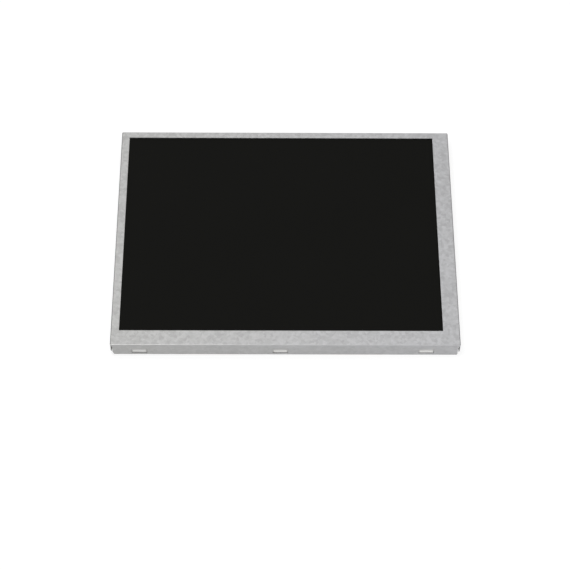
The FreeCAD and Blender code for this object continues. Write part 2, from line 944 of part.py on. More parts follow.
def power_inductors():
    """Two shielded power inductors: square ferrite blocks with cut corners and a round core."""
    block = slab(about(0, 0, inductor_side, inductor_side), 0, inductor_height)
    corners = [edge for edge in block.Edges if abs(edge.Length - inductor_height) < 1e-6]
    block = block.makeChamfer(inductor_corner, corners)
    low = inductor_height - inductor_groove_depth
    groove = peg(0, 0, inductor_groove_radius, low, inductor_height)
    core_radius = inductor_groove_radius - inductor_groove_width
    core = peg(0, 0, core_radius, low, inductor_height)
    block = block.cut(groove.cut(core))
    return Part.makeCompound([on_board(block, *board_point(place)) for place in inductor_places])


# Flat socket, drawn with its feet at zero and its mouth towards +Y

socket_x = centre_x + socket_from_board_middle
socket_y = board_area[3] - socket_from_board_edge - socket_depth
mouth_half = socket_ways * way_pitch / 2 + mouth_side_room
housing_half = mouth_half + cheek_width
mouth_high = socket_height - socket_wall
way_places = [(index - (socket_ways - 1) / 2) * way_pitch for index in range(socket_ways)]
hook_room = slider_hook_reach + slider_gap
arm_inner = housing_half + slider_gap


def both_ends(area):
    """A plan area at the right-hand end of the socket, and its mirror image at the left."""
    left, right, bottom, top = area
    return [area, (-right, -left, bottom, top)]


def socket_housing():
    """Moulded housing: a wide flat mouth, a comb of contact slots and a guideway for each hook."""
    housing = slab((-housing_half, housing_half, 0, socket_depth), 0, socket_height)
    mouth = (-mouth_half, mouth_half, socket_rear_wall, socket_depth + overrun)
    cuts = [slab(mouth, socket_wall, mouth_high)]
    way_end = slider_hook_y + slider_hook_length + slider_travel + slider_gap
    way_outer = housing_half + overrun
    guideway = (housing_half - hook_room, way_outer, slider_hook_y - slider_gap, way_end)
    cuts += [slab(area, -overrun, socket_height + overrun) for area in both_ends(guideway)]
    comb = contact_width + 2 * contact_slot_clearance
    floor_start = socket_rear_wall + contact_stock
    for x in way_places:
        way = (x - comb / 2, x + comb / 2, -overrun, floor_start)
        cuts.append(slab(way, -overrun, mouth_high))
    return housing.cut(cuts + solder_tabs())


def socket_contact():
    """A stamped contact: solder tail, root in the rear wall and a sprung beam along the floor."""
    stock = contact_stock
    root = socket_rear_wall / 2
    tip = socket_depth - contact_setback
    floor = socket_wall
    points = [
        (-contact_tail, 0),
        (root, 0),
        (root, floor),
        (tip, floor),
        (tip, floor + 2 * stock),
        (root + stock, floor + stock),
        (root + stock, mouth_high - stock),
        (root, mouth_high - stock),
        (-contact_tail, stock),
    ]
    return side_profile(points, contact_width)


def solder_tabs():
    """The bent tab at each end that solders the housing down to the board."""
    stock = solder_tab_stock
    inner = housing_half - 2 * stock
    foot = (inner, housing_half + solder_tab_reach, stock, stock + solder_tab_length)
    leg = (inner, inner + stock, stock, stock + solder_tab_length)
    feet = [slab(area, 0, stock) for area in both_ends(foot)]
    legs = [slab(area, 0, solder_tab_height) for area in both_ends(leg)]
    return [joined([foot, leg]) for foot, leg in zip(feet, legs)]


def socket_slider():
    """Locking slider: a bar with a tongue that wedges into the mouth and a hooked arm each end."""
    bar_y = socket_depth + slider_gap
    arm_outer = arm_inner + slider_arm_width
    bar = (-arm_outer, arm_outer, bar_y, bar_y + slider_bar)
    tongue_half = mouth_half - slider_gap
    tongue = (-tongue_half, tongue_half, bar_y - slider_tongue_length, bar_y + slider_bar / 2)
    tongue_high = slider_bar_low + slider_tongue_thick
    arm = (arm_inner, arm_outer, slider_hook_y, bar_y + slider_bar)
    hook_end = slider_hook_y + slider_hook_length
    hook = (arm_inner - slider_gap - slider_hook_reach, arm_outer, slider_hook_y, hook_end)
    parts = [
        slab(bar, slider_bar_low, socket_height),
        slab(tongue, slider_bar_low, tongue_high),
    ]
    parts += [slab(area, slider_arm_low, slider_arm_high) for area in both_ends(arm)]
    parts += [slab(area, slider_arm_low, slider_arm_high) for area in both_ends(hook)]
    return joined(parts)


def flat_socket():
    """The socket's housing, contacts, solder tabs and locking slider, on the circuit board."""
    contacts = []
    for x in way_places:
        contact = socket_contact()
        contact.translate(V(x, 0, 0))
        contacts.append(contact)
    shapes = {
        "socket_housing": socket_housing(),
        "socket_contacts": Part.makeCompound(contacts),
        "socket_solder_tabs": Part.makeCompound(solder_tabs()),
        "socket_slider": socket_slider(),
    }
    return {name: on_board(shape, socket_x, socket_y) for name, shape in shapes.items()}


def all_nodes():
    """Every piece of the module by name."""
    nodes = {
        "front_bezel": front_bezel(),
        "mould_frame": mould_frame(),
        "rear_plate": rear_plate(),
        "control_board": control_board(),
        "insulating_sheet": insulating_sheet(),
        "board_screws": Part.makeCompound([board_screw(x) for x in screw_centres]),
        "power_inductors": power_inductors(),
    }
    nodes.update(glass_panel())
    nodes.update(driver_chips())
    nodes.update(backlight())
    nodes.update(board_chips())
    nodes.update(small_parts())
    nodes.update(flat_socket())
    for name, x in zip(("left_panel_flex", "right_panel_flex"), flex_centres):
        nodes[name] = panel_flex(x)
    return nodes


def main():
    os.makedirs("parts", exist_ok=True)
    for name, shape in all_nodes().items():
        bounds = shape.BoundBox
        print(
            f"{name:22s} solids {len(shape.Solids):3d} faces {len(shape.Faces):4d} "
            f"valid {shape.isValid()} volume {shape.Volume:10.3f} "
            f"z {bounds.ZMin:.3f}..{bounds.ZMax:.3f}"
        )
        shape.exportStep(os.path.join("parts", name + ".step"))


main()
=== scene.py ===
"""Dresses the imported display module: materials, soldering, tracks, camera, floor and light."""

import math

import bmesh
import bpy
from mathutils import Matrix, Vector


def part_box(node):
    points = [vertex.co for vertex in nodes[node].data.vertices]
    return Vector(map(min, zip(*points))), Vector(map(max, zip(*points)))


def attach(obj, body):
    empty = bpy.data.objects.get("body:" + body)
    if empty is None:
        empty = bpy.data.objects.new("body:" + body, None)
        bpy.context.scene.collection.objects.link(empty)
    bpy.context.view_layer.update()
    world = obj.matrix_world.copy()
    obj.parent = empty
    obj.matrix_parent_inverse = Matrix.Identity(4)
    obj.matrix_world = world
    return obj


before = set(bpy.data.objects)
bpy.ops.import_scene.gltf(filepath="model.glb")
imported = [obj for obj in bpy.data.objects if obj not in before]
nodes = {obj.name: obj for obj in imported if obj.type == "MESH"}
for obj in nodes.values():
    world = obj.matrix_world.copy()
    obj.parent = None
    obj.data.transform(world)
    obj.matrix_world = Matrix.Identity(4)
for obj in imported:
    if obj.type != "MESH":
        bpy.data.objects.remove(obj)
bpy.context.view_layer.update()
MM = 0.001
along_x = 0
along_y = 1

# Camera, as fitted to the outline and the window in the photograph
camera_target = Vector((-0.06, -18.46, 0)) * MM
camera_distance = 716.3 * MM
camera_depression = math.radians(55.74)
camera_turn = math.radians(0.66)
camera_roll = math.radians(-0.69)
camera_lens = 121.17
camera_sensor = 36.0


def make_camera():
    """The camera looks at its target from in front and above, with a slight roll."""
    level = math.cos(camera_depression)
    forward = Vector(
        (
            math.sin(camera_turn) * level,
            math.cos(camera_turn) * level,
            -math.sin(camera_depression),
        )
    )
    right = Vector((math.cos(camera_turn), -math.sin(camera_turn), 0))
    down = forward.cross(right)
    rolled_right = right * math.cos(camera_roll) + down * math.sin(camera_roll)
    rolled_down = down * math.cos(camera_roll) - right * math.sin(camera_roll)
    turn = Matrix((rolled_right, -rolled_down, -forward)).transposed()
    data = bpy.data.cameras.new("camera")
    data.lens = camera_lens
    data.sensor_width = camera_sensor
    data.clip_start = 0.01
    data.clip_end = 20.0
    camera = bpy.data.objects.new("camera", data)
    camera.matrix_world = Matrix.Translation(
        camera_target - forward * camera_distance
    ) @ turn.to_4x4()
    bpy.context.scene.collection.objects.link(camera)
    bpy.context.scene.camera = camera


make_camera()


def plan_box(node):
    """A node's lowest and highest corners at rest, in millimetres."""
    low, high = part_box(node)
    return low / MM, high / MM


# Node materials


def math_node(tree, operation, a, b=None):
    """The outcome of a math node on one or two values, each a number or another node's output."""
    node = tree.nodes.new("ShaderNodeMath")
    node.operation = operation
    for socket, value in zip(node.inputs, (a, b)):
        if isinstance(value, (int, float)):
            socket.default_value = value
        elif value is not None:
            tree.links.new(value, socket)
    return node.outputs[0]


class Shader:
    """A material's node tree, with short calls for the nodes that the materials share."""

    def __init__(self, name, **values):
        self.material = bpy.data.materials.new(name)
        self.material.use_nodes = True
        self.tree = self.material.node_tree
        self.surface = self.tree.nodes["Principled BSDF"]
        for socket, value in values.items():
            self.surface.inputs[socket.replace("_", " ")].default_value = value
        self.position = self.add("ShaderNodeTexCoord").outputs["Object"]

    def add(self, kind, **settings):
        node = self.tree.nodes.new(kind)
        for key, value in settings.items():
            setattr(node, key, value)
        return node

    def link(self, source, target):
        self.tree.links.new(source, target)

    def place(self, stretch=(1, 1, 1)):
        """Object position in millimetres, stretched along each axis."""
        mapping = self.add("ShaderNodeMapping")
        mapping.inputs["Scale"].default_value = [value / MM for value in stretch]
        self.link(self.position, mapping.inputs["Vector"])
        return mapping.outputs["Vector"]

    def axes(self):
        """The X, Y and Z of the surface point, in millimetres."""
        split = self.add("ShaderNodeSeparateXYZ")
        self.link(self.place(), split.inputs[0])
        return split.outputs

    def facing(self):
        """The X, Y and Z of the surface's normal."""
        split = self.add("ShaderNodeSeparateXYZ")
        self.link(self.add("ShaderNodeNewGeometry").outputs["Normal"], split.inputs[0])
        return split.outputs

    def each_solid(self):
        """A random value from 0 to 1 that is the same all over each separate solid."""
        return self.add("ShaderNodeNewGeometry").outputs["Random Per Island"]

    def noise(self, size, detail=2.0, roughness=0.5, stretch=(1, 1, 1)):
        """Smooth noise whose features are about so many millimetres across."""
        node = self.add("ShaderNodeTexNoise")
        node.inputs["Scale"].default_value = 1.0 / size
        node.inputs["Detail"].default_value = detail
        node.inputs["Roughness"].default_value = roughness
        self.link(self.place(stretch), node.inputs["Vector"])
        return node.outputs["Fac"]

    def cells(self, size, stretch=(1, 1, 1)):
        """A random tone for each crystal-like cell of about so many millimetres."""
        node = self.add("ShaderNodeTexVoronoi")
        node.inputs["Scale"].default_value = 1.0 / size
        self.link(self.place(stretch), node.inputs["Vector"])
        split = self.add("ShaderNodeSeparateColor")
        self.link(node.outputs["Color"], split.inputs[0])
        return split.outputs[0]

    def math(self, operation, a, b=None):
        return math_node(self.tree, operation, a, b)

    def total(self, *weighted):
        """The sum of several (source, weight) pairs."""
        result = None
        for source, weight in weighted:
            share = self.math("MULTIPLY", source, weight)
            result = share if result is None else self.math("ADD", result, share)
        return result

    def span(self, source, low, high, start=0.0, end=1.0):
        """A value that runs from low to high while the source runs from start to end."""
        node = self.add("ShaderNodeMapRange")
        node.inputs["From Min"].default_value = start
        node.inputs["From Max"].default_value = end
        node.inputs["To Min"].default_value = low
        node.inputs["To Max"].default_value = high
        self.link(source, node.inputs["Value"])
        return node.outputs["Result"]

    def blend(self, factor, first, second, mode="MIX"):
        """A colour between two, each a colour or another node's output."""
        node = self.add("ShaderNodeMix", data_type="RGBA", blend_type=mode)
        inputs = [socket for socket in node.inputs if socket.type == "RGBA"]
        for socket, value in zip(inputs, (first, second)):
            if isinstance(value, tuple):
                socket.default_value = (*value, 1.0)
            else:
                self.link(value, socket)
        if isinstance(factor, float):
            node.inputs["Factor"].default_value = factor
        else:
            self.link(factor, node.inputs["Factor"])
        return [socket for socket in node.outputs if socket.type == "RGBA"][0]

    def stripes(self, coordinate, pitch, share):
        """1 on stripes that fill a share of each pitch of a coordinate, and 0 between them."""
        step = self.math("FRACT", self.math("DIVIDE", coordinate, pitch))
        return self.math("LESS_THAN", step, share)

    def spot(self, x, y, radius, soft):
        """1 within a round spot in plan, falling to 0 over a soft rim."""
        across = self.axes()
        dx = self.math("SUBTRACT", across[0], x)
        dy = self.math("SUBTRACT", across[1], y)
        squares = self.math("ADD", self.math("MULTIPLY", dx, dx), self.math("MULTIPLY", dy, dy))
        return self.span(self.math("SQRT", squares), 1.0, 0.0, radius, radius + soft)

    def metal(self, source):
        self.link(source, self.surface.inputs["Metallic"])

    def finish(self, tone, gloss, relief, depth):
        """Joins the tone, the gloss and a relief of so many millimetres to the surface."""
        bump = self.add("ShaderNodeBump")
        bump.inputs["Strength"].default_value = 1.0
        bump.inputs["Distance"].default_value = depth * MM
        self.link(relief, bump.inputs["Height"])
        self.link(tone, self.surface.inputs["Base Color"])
        self.link(gloss, self.surface.inputs["Roughness"])
        self.link(bump.outputs["Normal"], self.surface.inputs["Normal"])
        return self.material


def shade(colour, share):
    """A colour made lighter or darker by a share of itself."""
    return tuple(min(1.0, channel * share) for channel in colour)


def galvanised(name, value, spread, folded=False):
    """Zinc-coated sheet: cloudy crystals with bright flecks, and a slow drift from warm to cool."""
    warm_end = -55
    cool_end = 45
    warm = (1.0, 0.998, 0.986)
    cool = (0.981, 0.98, 1.0)
    shader = Shader(name, Metallic=0.55, Roughness=0.5)
    crystals = shader.noise(2.2, detail=4.0, roughness=0.7)
    facets = shader.cells(1.1)
    clouds = shader.noise(14.0)
    mottle = shader.total((crystals, 0.56), (facets, 0.26), (clouds, 0.18))
    low = shade((1.0, 1.0, 0.995), value - spread)
    high = shade((1.0, 1.0, 1.0), value + spread)
    tone = shader.blend(shader.span(mottle, 0, 1, 0.33, 0.67), low, high)
    fleck = shader.span(shader.noise(0.8, roughness=0.7), 0, 0.35, 0.62, 0.75)
    tone = shader.blend(fleck, tone, shade((1, 1, 1), value * 1.35))
    gloss = shader.span(mottle, 0.44, 0.58, 0.3, 0.7)
    grain = shader.noise(0.35, detail=3.0)
    # Folded sheet also gets painted shade on its side bends.
    if folded:
        tone, gloss, grain = fold_gloss_and_painted_shade(shader, value, tone, gloss, grain)
    drift = shader.blend(shader.span(shader.axes()[0], 0, 1, warm_end, cool_end), warm, cool)
    return shader.finish(shader.blend(1.0, tone, drift, "MULTIPLY"), gloss, grain, 0.004)


def fold_gloss_and_painted_shade(shader, value, tone, gloss, grain):
    """Calm flanges and burnished long bends from folding, and duller side bends darkened with
    painted shade.
    """
    flange_limit = 0.15
    face_limit = 0.97
    plain = shade((1, 1, 1), value)
    sideways, _, upward = shader.facing()
    upright = shader.math("LESS_THAN", upward, flange_limit)
    tone = shader.blend(shader.math("MULTIPLY", upright, 0.4), tone, plain)
    off_face = shader.span(shader.math("ABSOLUTE", sideways), 0, 1, 0.05, 0.6)
    off_flange = shader.span(upward, 0, 1, 0, 0.5)
    dull_and_painted_shade = shader.math("MINIMUM", off_face, off_flange)
    bent = shader.math(
        "MULTIPLY",
        shader.math("GREATER_THAN", upward, flange_limit),
        shader.math("LESS_THAN", upward, face_limit),
    )
    burnished = shader.math("MULTIPLY", bent, shader.span(dull_and_painted_shade, 1, 0))
    shader.metal(shader.span(burnished, 0.55, 0.9))
    tone = shader.blend(burnished, tone, plain)
    # Painted shade: the side bends are darkened towards 0.42 of the plain tone.
    tone = shader.blend(dull_and_painted_shade, tone, shade(plain, 0.42))
    gloss = shader.total((gloss, 1), (burnished, -0.16), (dull_and_painted_shade, 0.2))
    grain = shader.math("MULTIPLY", grain, shader.span(burnished, 1, 0))
    return tone, gloss, grain


def moulded(name, colour, roughness=0.5, spread=0.03, grain=0.3, depth=0.006):
    """Moulded plastic with a fine spark-eroded texture and slight tone drift."""
    shader = Shader(name, Roughness=roughness)
    drift = shader.noise(6.0, detail=3.0)
    tone = shader.blend(drift, shade(colour, 1 - spread), shade(colour, 1 + spread))
    texture = shader.noise(grain)
    gloss = shader.span(texture, roughness - 0.08, roughness + 0.08)
    return shader.finish(tone, gloss, texture, depth)


def polariser_film():
    """Near-black film with an anti-glare grain and almost no mirror reflection."""
    shader = Shader("dark_polariser", Roughness=0.55)
    shader.surface.inputs["Specular IOR Level"].default_value = 0.04
    haze = shader.noise(30.0)
    tone = shader.blend(haze, (0.0044, 0.0044, 0.0037), (0.0052, 0.0052, 0.0044))
    gloss = shader.span(shader.noise(0.12), 0.5, 0.62)
    return shader.finish(tone, gloss, shader.noise(0.09), 0.0015)


def solder_mask(name, colour, laminate_edge=False):
    """Glossy green lacquer over woven laminate, whose cut edge shows pale."""
    shader = Shader(name, Roughness=0.3)
    across = shader.axes()
    warp = shader.math("SINE", shader.math("MULTIPLY", across[0], 2 * math.pi / 0.55))
    weft = shader.math("SINE", shader.math("MULTIPLY", across[1], 2 * math.pi / 0.45))
    weave = shader.span(shader.math("MULTIPLY", warp, weft), 0, 1, -1, 1)
    mottle = shader.total((weave, 0.35), (shader.noise(3.0, detail=3.0), 0.65))
    tone = shader.blend(mottle, shade(colour, 0.82), shade(colour, 1.2))
    if laminate_edge:
        upright = shader.math("ABSOLUTE", shader.facing()[2])
        cut_edge = shader.math("LESS_THAN", upright, 0.5)
        fibres = shader.noise(0.12, stretch=(0.3, 0.3, 2.0))
        laminate = shader.blend(fibres, (0.30, 0.27, 0.12), (0.48, 0.44, 0.24))
        tone = shader.blend(cut_edge, tone, laminate)
    gloss = shader.span(shader.noise(1.2, detail=3.0), 0.22, 0.38)
    relief = shader.total((weave, 0.5), (shader.noise(0.8), 0.5))
    return shader.finish(tone, gloss, relief, 0.004)


def amber_flex(name, node, pitch, share, margin):
    """Amber film with copper tracks along its length, seen through it."""
    low, high = plan_box(node)
    centre = (low.x + high.x) / 2
    half = (high.x - low.x) / 2
    shader = Shader(name, Roughness=0.25)
    from_centre = shader.math("SUBTRACT", shader.axes()[0], centre)
    within = shader.math("LESS_THAN", shader.math("ABSOLUTE", from_centre), half - margin)
    track = shader.math("MULTIPLY", shader.stripes(from_centre, pitch, share), within)
    cloud = shader.noise(4.0, detail=3.0)
    film = shader.blend(cloud, (0.40, 0.19, 0.03), (0.50, 0.25, 0.05))
    copper = shader.blend(cloud, (0.44, 0.155, 0.035), (0.56, 0.21, 0.06))
    shader.metal(shader.math("MULTIPLY", track, 0.7))
    gloss = shader.span(shader.noise(0.9, detail=3.0), 0.2, 0.36)
    relief = shader.total((track, 0.6), (shader.noise(1.5), 0.4))
    return shader.finish(shader.blend(track, film, copper), gloss, relief, 0.008)


def bright_metal(name, colour, low_rough, high_rough, grain):
    """Plated or tinned metal with an uneven, slightly orange-peeled gloss."""
    shader = Shader(name, Metallic=1.0, Roughness=low_rough)
    cloud = shader.noise(grain, detail=3.0, roughness=0.6)
    tone = shader.blend(cloud, shade(colour, 0.86), shade(colour, 1.1))
    gloss = shader.span(cloud, low_rough, high_rough, 0.3, 0.7)
    return shader.finish(tone, gloss, shader.noise(grain / 3), 0.004)


def screw_steel():
    """Bright plated steel with fine turning rings round each screw's axis."""
    shader = Shader("screw_steel", Metallic=1.0, Roughness=0.3)
    rings = None
    for low, high in islands("board_screws"):
        middle = (low + high) / 2
        spot = shader.spot(middle.x, middle.y, 0.0, 2.0)
        wave = shader.math("SINE", shader.math("MULTIPLY", spot, 2 * math.pi * 16))
        rings = wave if rings is None else shader.math("MULTIPLY", rings, wave)
    cloud = shader.noise(0.7, detail=3.0)
    tone = shader.blend(cloud, (0.46, 0.47, 0.48), (0.62, 0.62, 0.60))
    return shader.finish(tone, shader.span(cloud, 0.22, 0.4), rings, 0.003)


def chip_epoxy(name, spots):
    """Black moulded epoxy, matt and slightly sparkling, with a polished mark at its first lead
    whose darker tone is painted shade.
    """
    shader = Shader(name, Roughness=0.6)
    grain = shader.noise(0.09, detail=3.0, roughness=0.7)
    tone = shader.blend(grain, (0.017, 0.017, 0.018), (0.036, 0.036, 0.037))
    mark = None
    for x, y in spots:
        spot = shader.spot(x, y, 0.32, 0.05)
        mark = spot if mark is None else shader.math("MAXIMUM", mark, spot)
    # Painted shade: the first-lead mark is darkened where a dimple's shade would fall.
    tone = shader.blend(mark, tone, (0.011, 0.011, 0.012))
    gloss = shader.total((shader.span(grain, 0.5, 0.7), 1), (mark, -0.3))
    return shader.finish(tone, gloss, shader.total((grain, 0.12), (mark, -1.0)), 0.05)


def tan_ceramic():
    """Fired ceramic whose tone differs a little from piece to piece."""
    shader = Shader("tan_ceramic", Roughness=0.45)
    mix = shader.total((shader.each_solid(), 0.6), (shader.noise(0.3, detail=3.0), 0.4))
    tone = shader.blend(mix, (0.34, 0.235, 0.14), (0.50, 0.365, 0.235))
    gloss = shader.span(shader.noise(0.25), 0.36, 0.52)
    return shader.finish(tone, gloss, shader.noise(0.15), 0.003)


def resistor_ceramic():
    """White ceramic with a black glaze on the side that faces away from the board."""
    shader = Shader("resistor_black", Roughness=0.3)
    outward = shader.math("LESS_THAN", shader.facing()[2], -0.5)
    grain = shader.noise(0.2)
    ceramic = shader.blend(grain, (0.62, 0.61, 0.58), (0.76, 0.75, 0.72))
    glaze = shader.blend(grain, (0.012, 0.012, 0.014), (0.026, 0.026, 0.028))
    gloss = shader.span(shader.noise(0.3), 0.22, 0.42)
    return shader.finish(shader.blend(outward, ceramic, glaze), gloss, grain, 0.003)


def ferrite():
    """Sintered ferrite: dark, dull and finely pitted."""
    shader = Shader("ferrite", Roughness=0.55)
    pits = shader.noise(0.12, detail=4.0, roughness=0.7)
    tone = shader.blend(pits, (0.055, 0.055, 0.06), (0.125, 0.125, 0.13))
    return shader.finish(tone, shader.span(pits, 0.45, 0.7), pits, 0.02)


def clear_layer(name, low, high, roughness, transmission, ior):
    """A clear sheet with a faint tint and slight streaks of gloss."""
    shader = Shader(name, Roughness=roughness, Transmission_Weight=transmission, IOR=ior)
    tone = shader.blend(shader.noise(9.0), low, high)
    streaks = shader.noise(0.6, stretch=(0.1, 1, 1))
    gloss = shader.span(streaks, roughness * 0.7, roughness * 1.4)
    return shader.finish(tone, gloss, shader.noise(2.5), 0.002)


def soft_layer(name, low, high, grain, depth, roughness):
    """A thin film, tape or foam with a fine grain."""
    shader = Shader(name, Roughness=roughness)
    fine = shader.noise(grain, detail=3.0, roughness=0.6)
    gloss = shader.span(fine, roughness - 0.1, roughness + 0.1)
    return shader.finish(shader.blend(fine, low, high), gloss, fine, depth)


def prism_film(name, across):
    """White optical film with fine ridges, one after another across an axis."""
    shader = Shader(name, Roughness=0.35)
    ridge = shader.math("PINGPONG", shader.axes()[across], 0.025)
    cloud = shader.noise(8.0)
    tone = shader.blend(cloud, (0.80, 0.80, 0.79), (0.88, 0.88, 0.87))
    return shader.finish(tone, shader.span(cloud, 0.3, 0.4), ridge, 1.0)


def emitter_package():
    """White emitter package with a pale yellow window on the side that faces the light guide."""
    shader = Shader("led_package", Roughness=0.3)
    toward_guide = shader.math("GREATER_THAN", shader.facing()[1], 0.5)
    low, high = plan_box("backlight_leds")
    height = shader.axes()[2]
    middle = (low.z + high.z) / 2
    off_middle = shader.math("ABSOLUTE", shader.math("SUBTRACT", height, middle))
    window = shader.math("MULTIPLY", toward_guide, shader.math("LESS_THAN", off_middle, 0.28))
    grain = shader.noise(0.3)
    white = shader.blend(grain, (0.80, 0.80, 0.78), (0.88, 0.88, 0.86))
    phosphor = shader.blend(grain, (0.80, 0.66, 0.16), (0.88, 0.76, 0.26))
    gloss = shader.span(grain, 0.22, 0.4)
    return shader.finish(shader.blend(window, white, phosphor), gloss, grain, 0.004)


# The separate solids of a node

weld = 0.002


def islands(node):
    """(lowest, highest) corners in millimetres of each separate solid of a node."""
    mesh = bmesh.new()
    mesh.from_mesh(nodes[node].data)
    bmesh.ops.remove_doubles(mesh, verts=mesh.verts, dist=weld * MM)
    seen = set()
    boxes = []
    for first in mesh.verts:
        if first in seen:
            continue
        seen.add(first)
        group = [first]
        for vertex in group:
            for edge in vertex.link_edges:
                other = edge.other_vert(vertex)
                if other not in seen:
                    seen.add(other)
                    group.append(other)
        points = [vertex.co / MM for vertex in group]
        low = Vector([min(point[axis] for point in points) for axis in range(3)])
        high = Vector([max(point[axis] for point in points) for axis in range(3)])
        boxes.append((low, high))
    mesh.free()
    return sorted(boxes, key=lambda box: (round(box[0].x, 2), round(box[0].y, 2)))


def first_lead_spot(node, inset):
    """The place in plan of the mark near the first lead of each chip of a node."""
    return [(low.x + inset, high.y - inset) for low, high in islands(node)]


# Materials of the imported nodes

board_green = (0.022, 0.125, 0.052)
copper_green = (0.045, 0.215, 0.088)
white_film = soft_layer("white_film", (0.80, 0.80, 0.79), (0.88, 0.88, 0.87), 0.2, 0.002, 0.45)
black_tape = soft_layer("black_tape", (0.014, 0.014, 0.014), (0.03, 0.03, 0.03), 0.25, 0.02, 0.8)
silicon = soft_layer("bare_silicon", (0.04, 0.04, 0.048), (0.06, 0.06, 0.066), 0.8, 0.001, 0.2)
glass = clear_layer("panel_glass", (0.70, 0.82, 0.77), (0.76, 0.86, 0.82), 0.05, 0.7, 1.52)
tin = bright_metal("tinned_lead", (0.70, 0.69, 0.66), 0.2, 0.42, 0.5)
polariser = polariser_film()
mask = solder_mask("solder_mask", board_green, laminate_edge=True)
lifted_mask = solder_mask("mask_over_copper", copper_green)
flex_pitch = 0.5
flex_margin = 0.8
tail_pitch = 1.5
assignments = {
    "front_bezel": galvanised("bezel_steel", 0.40, 0.062, folded=True),
    "rear_plate": galvanised("plate_steel", 0.40, 0.045),
    "mould_frame": moulded("frame_plastic", (0.72, 0.715, 0.70)),
    "front_polariser": polariser,
    "rear_polariser": polariser,
    "control_board": mask,
    "insulating_sheet": clear_layer(
        "clear_film", (0.70, 0.70, 0.64), (0.80, 0.80, 0.75), 0.22, 0.6, 1.49
    ),
    "board_screws": screw_steel(),
    "power_inductors": ferrite(),
    "thin_film_glass": glass,
    "colour_filter_glass": glass,
    "panel_rim_tape": black_tape,
    "bezel_cushion": black_tape,
    "source_driver_chips": silicon,
    "gate_driver_chips": silicon,
    "diffuser_film": white_film,
    "lower_prism_film": prism_film("lower_prism_film", along_y),
    "upper_prism_film": prism_film("upper_prism_film", along_x),
    "reflector_sheet": white_film,
    "light_guide": clear_layer(
        "guide_acrylic", (0.86, 0.90, 0.90), (0.90, 0.93, 0.93), 0.08, 0.7, 1.49
    ),
    "backlight_leds": emitter_package(),
    "led_strip_flex": amber_flex("tail_flex", "led_strip_flex", tail_pitch, 0.8, 0.5),
    "left_panel_flex": amber_flex("left_flex", "left_panel_flex", flex_pitch, 0.55, flex_margin),
    "right_panel_flex": amber_flex("right_flex", "right_panel_flex", flex_pitch, 0.55, flex_margin),
    "display_controller": chip_epoxy(
        "controller_epoxy", first_lead_spot("display_controller", 1.3)
    ),
    "converter_chips": chip_epoxy("converter_epoxy", first_lead_spot("converter_chips", 0.75)),
    "chip_leads": tin,
    "part_end_caps": tin,
    "socket_solder_tabs": tin,
    "chip_capacitors": tan_ceramic(),
    "chip_resistors": resistor_ceramic(),
    "socket_housing": moulded("socket_nylon", (0.78, 0.745, 0.65), 0.45, grain=0.2, depth=0.004),
    "socket_contacts": bright_metal("gilt_contact", (0.86, 0.62, 0.27), 0.2, 0.36, 0.3),
    "socket_slider": moulded("slider_nylon", (0.055, 0.036, 0.025), 0.42, 0.08, 0.2, 0.004),
}
for node, material in assignments.items():
    nodes[node].data.materials.clear()
    nodes[node].data.materials.append(material)


# Fine detail on the rear face of the board

board_low, board_high = plan_box("control_board")
rear = board_low.z
sink = 0.01
sharp_angle = math.radians(35)


def circle(x, y, radius):
    """A closed round outline in plan."""
    count = 20
    turns = [2 * math.pi * index / count for index in range(count)]
    return [(x + radius * math.cos(turn), y + radius * math.sin(turn)) for turn in turns]


def rectangle(left, right, bottom, top):
    """A closed rectangular outline in plan."""
    return [(left, bottom), (right, bottom), (right, top), (left, top)]


def band(path, width):
    """The closed outline of a path of even width, with mitred corners."""
    points = [Vector(point) for point in path]
    ways = [(after - before).normalized() for before, after in zip(points, points[1:])]
    sides = ([], [])
    for index, point in enumerate(points):
        before = ways[max(index - 1, 0)]
        after = ways[min(index, len(ways) - 1)]
        mean = (before + after).normalized()
        across = Vector((-mean.y, mean.x))
        reach = width / 2 / across.dot(Vector((-before.y, before.x)))
        sides[0].append(point + across * reach)
        sides[1].append(point - across * reach)
    return sides[0] + sides[1][::-1]


